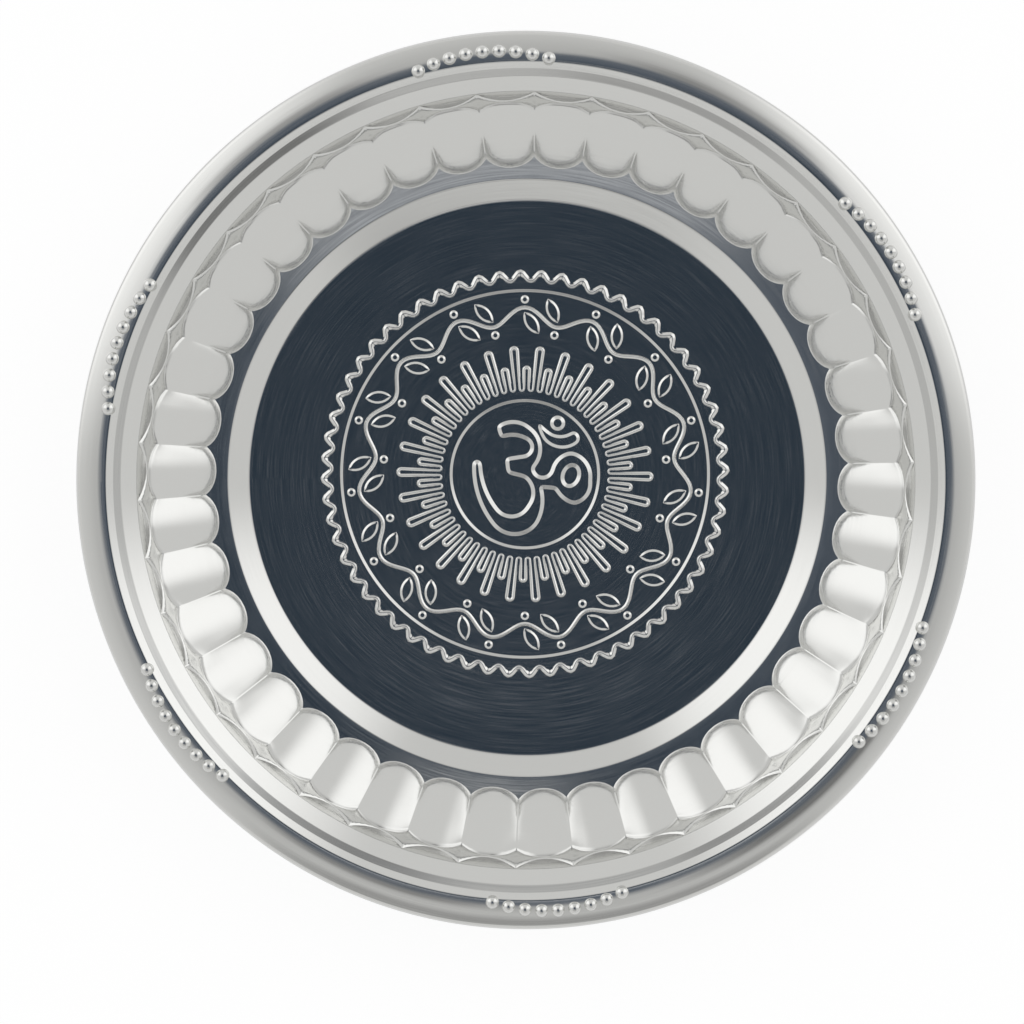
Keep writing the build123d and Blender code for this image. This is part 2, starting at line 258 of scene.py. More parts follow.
def faceTree():
    tree = bpy.data.node_groups.new("sheet_face", "GeometryNodeTree")
    add = functools.partial(addNode, tree)
    face = tree.interface
    for name in ("Profile", "Rows"):
        face.new_socket(name, in_out="INPUT", socket_type="NodeSocketObject")
    for name in ("Flutes", "Columns"):
        face.new_socket(name, in_out="INPUT", socket_type="NodeSocketInt")
    lengths = ("Crown", "Foot Place", "Foot Arc", "Foot Round", "Toe", "Valley Fill", "Crease", "Crease Wide",
               "Head Place", "Head Arc", "Line Place", "Line Dip", "Turn")
    for name in lengths:
        face.new_socket(name, in_out="INPUT", socket_type="NodeSocketFloat")
    face.new_socket("Mesh", in_out="OUTPUT", socket_type="NodeSocketGeometry")
    given = add("NodeGroupInput").outputs
    rows = add("GeometryNodeObjectInfo", {"Object": given["Rows"]}).outputs["Geometry"]
    profile = add("GeometryNodeObjectInfo", {"Object": given["Profile"]}).outputs["Geometry"]
    rowCount = add("GeometryNodeAttributeDomainSize", {"Geometry": rows}).outputs["Point Count"]
    lastRow = add("ShaderNodeMath", (rowCount, 1), operation="SUBTRACT")
    columnCount = add("ShaderNodeMath", (given["Flutes"], given["Columns"]), operation="MULTIPLY")
    columnEnds = add("ShaderNodeMath", (columnCount, 1), operation="ADD")
    grid = add("GeometryNodeMeshGrid", {
        "Size X": 1.0, "Size Y": 1.0, "Vertices X": columnEnds, "Vertices Y": rowCount})

    # column and row of each point of the grid
    spot = add("ShaderNodeSeparateXYZ", (add("GeometryNodeInputPosition"),)).outputs
    numbers = []
    for share, last in ((spot[0], columnCount), (spot[1], lastRow)):
        share = add("ShaderNodeMath", (share, 0.5), operation="ADD")
        number = add("ShaderNodeMath", (share, last), operation="MULTIPLY")
        numbers.append(add("ShaderNodeMath", (number,), operation="ROUND"))
    column, row = numbers

    # place across one flute, -1 and 1 in the valleys, with more columns near them
    flutes = add("ShaderNodeMath", (column, given["Columns"]), operation="DIVIDE")
    past = add("ShaderNodeMath", (flutes, 0.001), operation="ADD")  # keeps whole numbers whole
    whole = add("ShaderNodeMath", (past,), operation="FLOOR")
    part = add("ShaderNodeMath", (flutes, whole), operation="SUBTRACT")
    swing = add("ShaderNodeMath", (part, 2, -1), operation="MULTIPLY_ADD")
    swing = add("ShaderNodeMath", (swing, math.pi / 2), operation="MULTIPLY")
    across = add("ShaderNodeMath", (swing,), operation="SINE")
    part = add("ShaderNodeMath", (across, 0.5, 0.5), operation="MULTIPLY_ADD")
    turns = add("ShaderNodeMath", (whole, part), operation="ADD")
    turns = add("ShaderNodeMath", (turns, math.tau), operation="MULTIPLY")
    angle = add("ShaderNodeMath", (turns, given["Flutes"]), operation="DIVIDE")
    angle = add("ShaderNodeMath", (angle, given["Turn"]), operation="ADD")
    square = add("ShaderNodeMath", (across, across), operation="MULTIPLY")
    bow = add("ShaderNodeMath", (1, square), operation="SUBTRACT")
    sag = add("ShaderNodeMath", (1, bow), operation="SUBTRACT")

    # lengths along the profile of the foot arc, the head arc and the upper line
    depths = []
    for value in (across, 1.0):
        lean = add("ShaderNodeMath", (value, given["Foot Round"]), operation="MULTIPLY")
        square = add("ShaderNodeMath", (lean, lean), operation="MULTIPLY")
        rest = add("ShaderNodeMath", (1, square), operation="SUBTRACT")
        root = add("ShaderNodeMath", (rest,), operation="SQRT")
        depths.append(add("ShaderNodeMath", (1, root), operation="SUBTRACT"))
    dip = add("ShaderNodeMath", depths, operation="DIVIDE")
    foot = add("ShaderNodeMath", (dip, given["Foot Arc"], given["Foot Place"]), operation="MULTIPLY_ADD")
    drop = add("ShaderNodeMath", (given["Head Arc"], sag), operation="MULTIPLY")
    head = add("ShaderNodeMath", (given["Head Place"], drop), operation="SUBTRACT")
    drop = add("ShaderNodeMath", (given["Line Dip"], bow), operation="MULTIPLY")
    line = add("ShaderNodeMath", (given["Line Place"], drop), operation="SUBTRACT")

    # what the rows say at each point
    said = {}
    for name in rowFields:
        value = add("GeometryNodeInputNamedAttribute", {"Name": name}, data_type="FLOAT")
        sample = add("GeometryNodeSampleIndex", {"Geometry": rows, "Index": row}, data_type="FLOAT")
        tree.links.new(value.outputs["Attribute"], sample.inputs["Value"])
        said[name] = sample.outputs["Value"]

    # a flute is drawn over the straight line from its foot arc to its head arc, all else along the profile
    reach = said["place"]
    for share, length in ((said["foot"], foot), (said["head"], head), (said["line"], line)):
        reach = add("ShaderNodeMath", (share, length, reach), operation="MULTIPLY_ADD")
    onSheet, atFoot, atHead = (
        add("GeometryNodeSampleCurve", {"Curves": profile, "Length": length}, mode="LENGTH").outputs
        for length in (reach, foot, head))
    ways = add("ShaderNodeVectorMath", (atHead["Position"], atFoot["Position"]), operation="SUBTRACT")
    straight = add("ShaderNodeVectorMath", (ways,), operation="NORMALIZE").outputs[0]
    overFlute = add("ShaderNodeMix", {
        0: said["head"], 4: atFoot["Position"], 5: atHead["Position"]}, data_type="VECTOR").outputs[1]
    chosen = []
    for sheetSide, fluteSide in ((onSheet["Position"], overFlute), (onSheet["Tangent"], straight)):
        both = add("ShaderNodeMix", {0: said["chord"], 4: sheetSide, 5: fluteSide}, data_type="VECTOR")
        chosen.append(add("ShaderNodeSeparateXYZ", (both.outputs[1],)).outputs)
    base, run = chosen

    # height over that line: crown less the crease beside the valley, then the toe and the filled valley
    bulge = add("ShaderNodeMath", (given["Crown"], bow), operation="MULTIPLY")
    bulge = add("ShaderNodeMath", (bulge, said["bulge"]), operation="MULTIPLY")
    inner = add("ShaderNodeMath", (1, given["Crease Wide"]), operation="SUBTRACT")
    side = add("ShaderNodeMath", (across,), operation="ABSOLUTE")
    edge = add("ShaderNodeMath", (side, inner), operation="SUBTRACT")
    edge = add("ShaderNodeMath", (edge, 0), operation="MAXIMUM")
    lean = add("ShaderNodeMath", (edge, given["Crease Wide"]), operation="DIVIDE")
    square = add("ShaderNodeMath", (lean, lean), operation="MULTIPLY")
    crease = add("ShaderNodeMath", (square, given["Crease"]), operation="MULTIPLY")
    crease = add("ShaderNodeMath", (crease, said["bulge"]), operation="MULTIPLY")
    bulge = add("ShaderNodeMath", (bulge, crease), operation="SUBTRACT")
    toe = add("ShaderNodeMath", (dip, given["Valley Fill"], given["Toe"]), operation="MULTIPLY_ADD")
    bulge = add("ShaderNodeMath", (toe, said["toe"], bulge), operation="MULTIPLY_ADD")
    lift = add("ShaderNodeMath", (bulge, said["lift"]), operation="ADD")
    lift = add("ShaderNodeMath", (lift, said["inset"]), operation="SUBTRACT")
    inwards = add("ShaderNodeMath", (run[2], lift), operation="MULTIPLY")
    radius = add("ShaderNodeMath", (base[0], inwards), operation="SUBTRACT")
    height = add("ShaderNodeMath", (run[0], lift, base[2]), operation="MULTIPLY_ADD")
    sine = add("ShaderNodeMath", (angle,), operation="SINE")
    cosine = add("ShaderNodeMath", (angle,), operation="COSINE")
    x = add("ShaderNodeMath", (radius, sine), operation="MULTIPLY")
    y = add("ShaderNodeMath", (radius, cosine), operation="MULTIPLY")
    place = add("ShaderNodeCombineXYZ", (x, y, height))
    moved = add("GeometryNodeSetPosition", {"Geometry": grid, "Position": place})
    closed = add("GeometryNodeMergeByDistance", {"Geometry": moved, "Distance": sheetLine["weld"] * mm})
    add("NodeGroupOutput", {"Mesh": closed})
    return tree


def sheetTree(faceGroup):
    tree = bpy.data.node_groups.new("pressed_sheet", "GeometryNodeTree")
    add = functools.partial(addNode, tree)
    face = tree.interface
    face.new_socket("Geometry", in_out="INPUT", socket_type="NodeSocketGeometry")
    face.new_socket("Upper Rows", in_out="INPUT", socket_type="NodeSocketObject")
    face.new_socket("Lower Rows", in_out="INPUT", socket_type="NodeSocketObject")
    shared = [item for item in faceGroup.interface.items_tree
              if item.in_out == "INPUT" and item.name != "Rows"]
    for item in shared:
        face.new_socket(item.name, in_out="INPUT", socket_type=item.socket_type)
    face.new_socket("Finish", in_out="INPUT", socket_type="NodeSocketMaterial")
    face.new_socket("Geometry", in_out="OUTPUT", socket_type="NodeSocketGeometry")
    given = add("NodeGroupInput").outputs
    sides = []
    for name in ("Upper Rows", "Lower Rows"):
        side = add("GeometryNodeGroup", node_tree=faceGroup)
        tree.links.new(given[name], side.inputs["Rows"])
        for item in shared:
            tree.links.new(given[item.name], side.inputs[item.name])
        sides.append(side.outputs["Mesh"])
    turned = add("GeometryNodeFlipFaces", {"Mesh": sides[1]})
    both = add("GeometryNodeJoinGeometry")
    tree.links.new(sides[0], both.inputs[0])
    tree.links.new(turned.outputs[0], both.inputs[0])
    joined = add("GeometryNodeMergeByDistance", {"Geometry": both, "Distance": sheetLine["weld"] * mm})
    smooth = add("GeometryNodeSetShadeSmooth", {"Geometry": joined, "Shade Smooth": True})
    real = add("GeometryNodeRealizeInstances", {"Geometry": smooth})
    done = add("GeometryNodeSetMaterial", {"Geometry": real, "Material": given["Finish"]})
    add("NodeGroupOutput", {"Geometry": done})
    return tree


def plainMesh(thing, tree, values):
    modifier = thing.modifiers.new("shape", "NODES")
    modifier.node_group = tree
    for item in tree.interface.items_tree:
        if item.in_out == "INPUT" and item.name in values:
            modifier[item.identifier] = values[item.name]
    bpy.context.view_layer.update()
    shaped = thing.evaluated_get(bpy.context.evaluated_depsgraph_get())
    mesh = bpy.data.meshes.new_from_object(shaped)
    thing.modifiers.remove(modifier)
    thing.data = mesh
    return thing


def pressedSheet():
    f = fluteShape
    upper = rowsObject("upper_rows", faceRows(True), 0)
    lower = rowsObject("lower_rows", faceRows(False), sheetLine["sheet"])
    profile = profileObject()
    sheet = meshObject("thali_sheet", [(0, 0, 0)])
    values = {
        "Upper Rows": upper, "Lower Rows": lower, "Profile": profile,
        "Flutes": f["count"], "Columns": f["columns"],
        "Crown": f["crown"] * mm, "Foot Place": f["footPlace"] * mm, "Foot Arc": f["footArc"] * mm,
        "Foot Round": f["footRound"], "Toe": f["toe"] * mm, "Valley Fill": f["valleyFill"] * mm,
        "Crease": f["crease"] * mm, "Crease Wide": f["creaseWide"],
        "Head Place": f["headPlace"] * mm, "Head Arc": f["headArc"] * mm,
        "Line Place": f["linePlace"] * mm, "Line Dip": f["lineDip"] * mm, "Turn": math.radians(f["turn"]),
        "Finish": steel,
    }
    plainMesh(sheet, sheetTree(faceTree()), values)
    for helper in (upper, lower, profile):
        bpy.data.objects.remove(helper)
    return sheet


sheet = pressedSheet()
print("wall and rim", len(sheet.data.vertices), "points")

# Medallion in mm from its own middle; all but the rays go through the sheet
medallion = {"x": -0.45, "y": 1.05, "rise": 0.4, "bevel": 1.1}
borderWave = {"radius": 49.3, "swing": 1.05, "sharp": 0.1, "count": 60, "turn": 4.7,
              "width": 1.6, "rise": 0.4, "steps": 10}
ringRidges = {"radii": (46.3, 18.85), "steep": 0.8, "fall": 4.0, "rise": 0.28, "stepsPerMm": 5,
              "loops": (1, 0.88, 0.12, 0)}
creeper = {"radius": 39.6, "swing": 2.1, "count": 15, "width": 1.0, "rise": 0.32, "steps": 18, "bevel": 0.6,
           "leafLength": 6.0, "leafWidth": 2.6, "leafLean": 34.0, "leafStart": 0.7, "leafStep": 0.8,
           "berryRadius": 0.8, "berryGap": 2.0, "berrySteps": 12}
sunRays = {"count": 60, "long": 31.8, "short": 26.8, "foot": 20.9, "turn": 7.0, "width": 0.82, "rise": 0.26,
           "through": 0.0, "tipSteps": 7, "footSteps": 5}
omSign = {
    "body": [
        [(-6.6, 11.9), (-3.3, 13.1), (1.1, 11.6), (3.8, 7.2), (1.9, 1.7)],
        [(1.9, 1.7), (4.4, -0.9), (7.0, 1.3), (8.8, 4.1), (11.6, 5.3), (15.4, 2.8), (16.3, -1.6)],
        [(16.3, -1.6), (14.9, -5.9), (12.3, -7.2), (9.7, -5.9), (7.8, -3.4)],
        [(3.9, -3.1), (4.4, -7.2), (2.9, -12.2), (-2.3, -15.0), (-7.6, -12.7), (-11.4, -6.0), (-12.7, 2.2)],
        [(-12.7, 2.2), (-12.0, 3.3), (-11.2, 2.4)],
        [(-11.2, 2.4), (-10.2, -3.0), (-7.4, -8.3), (-3.2, -10.6), (0.9, -8.0), (2.1, -4.0), (0.0, -0.5)],
        [(-4.1, 0.5)], [(-4.5, 3.8)],
        [(-0.6, 4.4), (1.9, 6.7), (0.2, 9.1), (-2.6, 9.9), (-6.0, 9.3)],
    ],
    "moon": [
        [(3.6, 12.4), (4.9, 11.2), (6.3, 10.1), (8.9, 9.4), (12.1, 10.5)],
        [(12.1, 10.5), (13.3, 9.5), (13.2, 8.2), (9.2, 6.8), (5.1, 8.7), (4.2, 10.3), (3.6, 12.4)],
    ],
    "eye": (11.5, -0.3), "eyeLength": 2.7, "eyeWidth": 2.0, "eyeLean": 70.0,
    "dot": (8.2, 12.8), "dotRadius": 1.45, "arcStep": 0.2, "step": 0.45, "eyeSteps": 28, "dotSteps": 24,
    "bodyRounds": 3, "moonRounds": 2, "moonBevel": 0.8, "dotBevel": 0.9,
}


def circlePoints(middle, radius, steps, start=0.0, sweep=math.tau):
    angles = [start + sweep * i / steps for i in range(steps)]
    return [(middle[0] + radius * math.cos(a), middle[1] + radius * math.sin(a)) for a in angles]


def arcThrough(a, b, c, step):
    ax, ay, bx, by, cx, cy = *a, *b, *c
    d = 2 * (ax * (by - cy) + bx * (cy - ay) + cx * (ay - by))
    ux = ((ax**2 + ay**2) * (by - cy) + (bx**2 + by**2) * (cy - ay) + (cx**2 + cy**2) * (ay - by)) / d
    uy = ((ax**2 + ay**2) * (cx - bx) + (bx**2 + by**2) * (ax - cx) + (cx**2 + cy**2) * (bx - ax)) / d
    radius = math.dist(a, (ux, uy))
    start = math.atan2(ay - uy, ax - ux)
    sweep = (math.atan2(cy - uy, cx - ux) - start) % math.tau
    if (math.atan2(by - uy, bx - ux) - start) % math.tau > sweep:
        sweep -= math.tau
    return circlePoints((ux, uy), radius, max(2, round(abs(sweep) * radius / step)), start, sweep)


def chainOutline(chains, step):
    points = []
    for chain in chains:
        if len(chain) == 1:
            points.append(chain[0])
        for i in range(0, len(chain) - 2, 2):
            points += arcThrough(chain[i], chain[i + 1], chain[i + 2], step)
        if len(chain) > 1 and chain is not chains[-1]:
            points.append(chain[-1])
    return points


def evenPath(path, step, rounds):
    lengths = lengthsAlong(path + path[:1])
    count = round(lengths[-1] / step)
    points, number = [], 0
    for i in range(count):
        place = lengths[-1] * i / count
        while lengths[number + 1] <= place:
            number += 1
        share = (place - lengths[number]) / (lengths[number + 1] - lengths[number])
        a, b = path[number], path[(number + 1) % len(path)]
        points.append((a[0] + (b[0] - a[0]) * share, a[1] + (b[1] - a[1]) * share))
    for _ in range(rounds):
        points = [tuple((points[i - 1][k] + 2 * p[k] + points[(i + 1) % count][k]) / 4 for k in (0, 1))
                  for i, p in enumerate(points)]
    return points


def sidewayNormals(path):
    normals = []
    count = len(path)
    for i in range(count):
        before, here, after = path[i - 1], path[i], path[(i + 1) % count]
        sides = []
        for a, b in ((before, here), (here, after)):
            length = math.dist(a, b)
            sides.append(((b[1] - a[1]) / length, -(b[0] - a[0]) / length))
        sx, sy = sides[0][0] + sides[1][0], sides[0][1] + sides[1][1]
        size = math.hypot(sx, sy)
        normals.append((sx / size, sy / size))
    return normals


# Each relief line is kept as a dense path; loops beside it are the points that the mesh is drawn through.
# Loops are shares of a line's width; a loop that comes too near another stretch of its line is pulled in.
reliefMesh = {"dense": 0.08, "ridgeLoops": (-0.5, -0.42, -0.1, 0.1, 0.42, 0.5),
              "flatLoops": (0.5, 0.38, -0.38, -0.5), "nearest": 0.03, "clear": 0.95, "pull": 0.92,
              "shoulder": 1.15, "ease": 0.1, "nudge": 0.02, "flatSlope": 0.16,
              "ringSlack": 0.5, "levelSlack": 0.001, "weld": 1e-5}
reliefRidges = []
reliefFlats = []
reliefLoops = []


def pathTree(points):
    tree = KDTree(len(points))
    for number, point in enumerate(points):
        tree.insert((point[0], point[1], 0), number)
    tree.balance()
    return tree


def densePath(path, normals, step):
    points = []
    for i, (a, normal) in enumerate(zip(path, normals)):
        b = path[(i + 1) % len(path)]
        length = math.dist(a, b)
        points.append((*a, *normal))
        straight = ((b[1] - a[1]) / length, -(b[0] - a[0]) / length)
        count = math.ceil(length / step)
        for j in range(1, count):
            points.append((a[0] + (b[0] - a[0]) * j / count, a[1] + (b[1] - a[1]) * j / count, *straight))
    return points


def addLoop(path, side, shift, near):
    r = reliefMesh
    points = []
    for (x, y), (nx, ny) in zip(path, side):
        step = shift
        while abs(step) > r["nearest"]:
            if near.find((x + nx * step, y + ny * step, 0))[2] >= r["clear"] * abs(step):
                break
            step *= r["pull"]
        points.append((x + nx * step, y + ny * step))
    reliefLoops.append(points)


def addRidge(path, width, rise, through=1.0):
    side = sidewayNormals(path)
    near = pathTree(densePath(path, side, reliefMesh["dense"]))
    for shift in reliefMesh["ridgeLoops"]:
        addLoop(path, side, shift * width, near)
    reliefRidges.append((near, width, rise, through))


def addPlateau(path, bevel, rise, hole=False):
    area = sum(a[0] * b[1] - a[1] * b[0] for a, b in zip(path, path[1:] + path[:1]))
    if (area < 0) != hole:
        path = path[::-1]
    side = sidewayNormals(path)
    dense = densePath(path, side, reliefMesh["dense"])
    near = pathTree(dense)
    for shift in reliefMesh["flatLoops"]:
        addLoop(path, side, shift * bevel, near)
    reliefFlats.extend((*point, bevel, rise) for point in dense)


def addBorderWave():
    b = borderWave
    path = []
    steps = b["count"] * b["steps"]
    for i in range(steps):
        angle = i * 360 / steps
        wave = math.radians(b["count"] * (angle - b["turn"]))
        swing = b["swing"] * (math.cos(wave) + b["sharp"] * math.cos(2 * wave))
        path.append(clockPoint(b["radius"] + swing, angle))
    addRidge(path, b["width"], b["rise"])


def addRingRidges():
    r = ringRidges
    for radius in r["radii"]:
        steps = int(radius * r["stepsPerMm"])
        for share in r["loops"]:
            reliefLoops.append(circlePoints((0, 0), radius - share * r["steep"], steps))


def leafOutline():
    c = creeper
    middle, half = c["leafLength"] / 2, c["leafWidth"] / 2
    stem, tip = (0, 0), (c["leafLength"], 0)
    under = arcThrough(stem, (middle, -half), tip, c["leafStep"])
    return under + arcThrough(tip, (middle, half), stem, c["leafStep"])


def addCreeper():
    c = creeper
    path = []
    steps = c["count"] * c["steps"]
    for i in range(steps):
        angle = i * 360 / steps
        path.append(clockPoint(c["radius"] + c["swing"] * math.cos(math.radians(c["count"] * angle)), angle))
    addRidge(path, c["width"], c["rise"])
    leaf = leafOutline()
    for number in range(2 * c["count"]):
        angle = number * 180 / c["count"]
        side = 1 if number % 2 == 0 else -1
        x, y = clockPoint(c["radius"] + side * c["leafStart"], angle)
        heading = math.radians(90 - angle + (180 if side == 1 else 0) + c["leafLean"])
        c1, s1 = math.cos(heading), math.sin(heading)
        turned = [(x + a * c1 - b * s1, y + a * s1 + b * c1) for a, b in leaf]
        addPlateau(turned, c["bevel"], c["rise"])
        berry = clockPoint(c["radius"] + side * (c["swing"] + c["berryGap"]), angle)
        addPlateau(circlePoints(berry, c["berryRadius"], c["berrySteps"]), c["bevel"], c["rise"])


def addSunRays():
    s = sunRays
    path = []
    half = 90 / s["count"]
    for number in range(s["count"]):
        middle = s["turn"] + number * 4 * half
        tip = s["long"] if number % 2 == 0 else s["short"]
        ends = ((middle, tip, 1, s["tipSteps"]), (middle + 2 * half, s["foot"], -1, s["footSteps"]))
        for turnMiddle, radius, out, steps in ends:
            reach = radius * math.sin(math.radians(half))
            centre = radius - out * reach
            for i in range(steps + 1):
                swing = math.pi * (1 - i / steps)
                across = math.degrees(math.asin(reach * math.cos(swing) / centre))
                path.append(clockPoint(centre + out * reach * math.sin(swing), turnMiddle + across))
    addRidge(path, s["width"], s["rise"], s["through"])


def addOmSign():
    o, m = omSign, medallion
    for name, bevel in (("body", m["bevel"]), ("moon", m["bevel"] * o["moonBevel"])):
        outline = chainOutline(o[name], o["arcStep"])
        addPlateau(evenPath(outline, o["step"], o[name + "Rounds"]), bevel, m["rise"])
    lean = math.radians(o["eyeLean"])
    eye = []
    for x, y in circlePoints((0, 0), 1, o["eyeSteps"]):
        a, b = x * o["eyeLength"], y * o["eyeWidth"]
        eye.append((o["eye"][0] + a * math.cos(lean) - b * math.sin(lean),
                    o["eye"][1] + a * math.sin(lean) + b * math.cos(lean)))
    addPlateau(eye, m["bevel"], m["rise"], hole=True)
    addPlateau(circlePoints(o["dot"], o["dotRadius"], o["dotSteps"]), m["bevel"] * o["dotBevel"], m["rise"])


addBorderWave()
addRingRidges()
addCreeper()
addSunRays()
addOmSign()
print("relief lines", len(reliefLoops), "loops")


def softRamp(share):
    ease = reliefMesh["ease"]
    share = min(max(share, 0.0), 1.0)
    if share < ease:
        return share * share / (2 * ease * (1 - ease))
    if share > 1 - ease:
        return 1 - (1 - share) ** 2 / (2 * ease * (1 - ease))
    return (share - ease / 2) / (1 - ease)


def reliefHeight(x, y, flats):
    high = [0.0, 0.0]
    for near, width, rise, through in reliefRidges:
        away = near.find((x, y, 0))[2]
        level = rise * softRamp(reliefMesh["shoulder"] * (1 - 2 * away / width))
        high = [max(high[0], level), max(high[1], level * through)]
    _, number, away = flats.find((x, y, 0))
    fx, fy, nx, ny, bevel, rise = reliefFlats[number]
    level = rise * softRamp(0.5 - math.copysign(away, (x - fx) * nx + (y - fy) * ny) / bevel)
    distance = math.hypot(x, y)
    r = ringRidges
    for radius in r["radii"]:
        inner = softRamp((distance - radius + r["steep"]) / r["steep"])
        level = max(level, r["rise"] * min(inner, softRamp(1 - (distance - radius) / r["fall"])))
    return max(high[0], level), max(high[1], level)


def innerRing(work, height):
    reach = (sheetLine["start"][0] + reliefMesh["ringSlack"]) * mm
    level = [v for v in work.verts if abs(v.co.z - height) < reliefMesh["levelSlack"] * mm]
    ring = [v for v in level if math.hypot(v.co.x, v.co.y) < reach]
    return sorted(ring, key=lambda v: math.atan2(v.co.x, v.co.y))


def strikeMedallion():
    m, r = medallion, reliefMesh
    work = bmesh.new()
    work.from_mesh(sheet.data)
    thick = sheetLine["sheet"] * mm
    rings = {1: innerRing(work, thick), 0: innerRing(work, 0)}
    count = len(rings[1])
    flat = [(v.co.x / mm - m["x"], v.co.y / mm - m["y"]) for v in rings[1]]
    edges = [(i, (i + 1) % count) for i in range(count)]
    for loop in reliefLoops:
        first, size = len(flat), len(loop)
        flat += loop
        edges += [(first + i, first + (i + 1) % size) for i in range(size)]
    points, _, faces, sources, _, _ = delaunay_2d_cdt(flat, edges, [], 0, r["weld"])
    print("medallion", len(points), "points", len(faces), "faces", sum(not s for s in sources), "crossings")
    flats = pathTree(reliefFlats)
    nudge = r["nudge"]
    cross = ((0, 0), (nudge, 0), (-nudge, 0), (0, nudge), (0, -nudge))
    around = [[reliefHeight(p.x + a, p.y + b, flats) for a, b in cross] for p in points]
    normals = {}
    for side in (1, 0):
        corners = []
        for point, source, heights in zip(points, sources, around):
            if source and source[0] < count:
                corners.append(rings[side][source[0]])
                continue
            here, east, west, north, south = (pair[1 - side] for pair in heights)
            v = work.verts.new(((point.x + m["x"]) * mm, (point.y + m["y"]) * mm, thick * side + here * mm))
            corners.append(v)
            slopeX, slopeY = (west - east) / (2 * nudge), (south - north) / (2 * nudge)
            if math.hypot(slopeX, slopeY) < r["flatSlope"]:
                slopeX = slopeY = 0
            size = math.copysign(math.sqrt(1 + slopeX**2 + slopeY**2), side - 0.5)
            normals[v] = (slopeX / size, slopeY / size, 1 / size)
        for face in faces:
            made = work.faces.new([corners[i] for i in (face if side else face[::-1])])
            made.smooth = True
    work.verts.index_update()
    chosen = {v.index: normal for v, normal in normals.items()}
    for face in work.faces:  # the node tree leaves an empty first slot
        face.material_index = 0
    work.to_mesh(sheet.data)
    work.free()
    sheet.data.materials.clear()
    sheet.data.materials.append(steel)
    sheet.data.update()
    blended = [tuple(n.vector) for n in sheet.data.vertex_normals]
    for index, normal in chosen.items():
        blended[index] = normal
    sheet.data.normals_split_custom_set_from_vertices(blended)


strikeMedallion()
print("sheet", sum(len(p.vertices) - 2 for p in sheet.data.polygons), "triangles")

# Beads in mm: groups along the inner edge of the rim, bowed outwards in their middle
beadRow = {"angles": (-5.6, 57.8, 118.9, 175.5, 234.7, 288.9), "count": 9, "radius": 1.7, "pitch": 4.0,
           "endRadius": 103.3, "bow": 1.9, "height": 24.45, "cut": 0.25, "segments": 28, "rings": 18}


def beadTree():
    tree = bpy.data.node_groups.new("rim_beads", "GeometryNodeTree")
    add = functools.partial(addNode, tree)
    face = tree.interface
    face.new_socket("Geometry", in_out="INPUT", socket_type="NodeSocketGeometry")
    for name in ("Count", "Segments", "Rings"):
        face.new_socket(name, in_out="INPUT", socket_type="NodeSocketInt")
    for name in ("Radius", "Pitch", "End Radius", "Bow", "Height", "Cut"):
        face.new_socket(name, in_out="INPUT", socket_type="NodeSocketFloat")
    face.new_socket("Finish", in_out="INPUT", socket_type="NodeSocketMaterial")
    face.new_socket("Geometry", in_out="OUTPUT", socket_type="NodeSocketGeometry")
    given = add("NodeGroupInput").outputs

    # places of the beads, counted from the middle of their group
    copies = add("GeometryNodeDuplicateElements", {
        "Geometry": given["Geometry"], "Amount": given["Count"]}, domain="POINT").outputs
    last = add("ShaderNodeMath", (given["Count"], 1), operation="SUBTRACT")
    middle = add("ShaderNodeMath", (last, 2), operation="DIVIDE")
    number = add("ShaderNodeMath", (copies["Duplicate Index"], middle), operation="SUBTRACT")
    side = add("ShaderNodeMath", (number, middle), operation="DIVIDE")
    square = add("ShaderNodeMath", (side, side), operation="MULTIPLY")
    share = add("ShaderNodeMath", (1, square), operation="SUBTRACT")
    bow = add("ShaderNodeMath", (given["Bow"], share), operation="MULTIPLY")
    radius = add("ShaderNodeMath", (given["End Radius"], bow), operation="ADD")
    group = add("GeometryNodeInputNamedAttribute", {"Name": "angle"}, data_type="FLOAT")
    run = add("ShaderNodeMath", (number, given["Pitch"]), operation="MULTIPLY")
    step = add("ShaderNodeMath", (run, given["End Radius"]), operation="DIVIDE")
    angle = add("ShaderNodeMath", (group.outputs["Attribute"], step), operation="ADD")
    sine = add("ShaderNodeMath", (angle,), operation="SINE")
    cosine = add("ShaderNodeMath", (angle,), operation="COSINE")
    x = add("ShaderNodeMath", (radius, sine), operation="MULTIPLY")
    y = add("ShaderNodeMath", (radius, cosine), operation="MULTIPLY")
    place = add("ShaderNodeCombineXYZ", (x, y, given["Height"]))
    placed = add("GeometryNodeSetPosition", {"Geometry": copies["Geometry"], "Position": place})

    # one bead: a ball with a flat foot
    ball = add("GeometryNodeMeshUVSphere", {
        "Segments": given["Segments"], "Rings": given["Rings"], "Radius": given["Radius"]})
    spot = add("ShaderNodeSeparateXYZ", (add("GeometryNodeInputPosition"),)).outputs
    foot = add("ShaderNodeMath", (given["Cut"], -1), operation="MULTIPLY")
    low = add("ShaderNodeMath", (spot[2], foot), operation="MAXIMUM")
    cut = add("ShaderNodeCombineXYZ", (spot[0], spot[1], low))
    dome = add("GeometryNodeSetPosition", {"Geometry": ball, "Position": cut})
    smoothDome = add("GeometryNodeSetShadeSmooth", {"Geometry": dome, "Shade Smooth": True})
    beads = add("GeometryNodeInstanceOnPoints", {"Points": placed, "Instance": smoothDome})
    real = add("GeometryNodeRealizeInstances", {"Geometry": beads})
    done = add("GeometryNodeSetMaterial", {"Geometry": real, "Material": given["Finish"]})
    add("NodeGroupOutput", {"Geometry": done})
    return tree


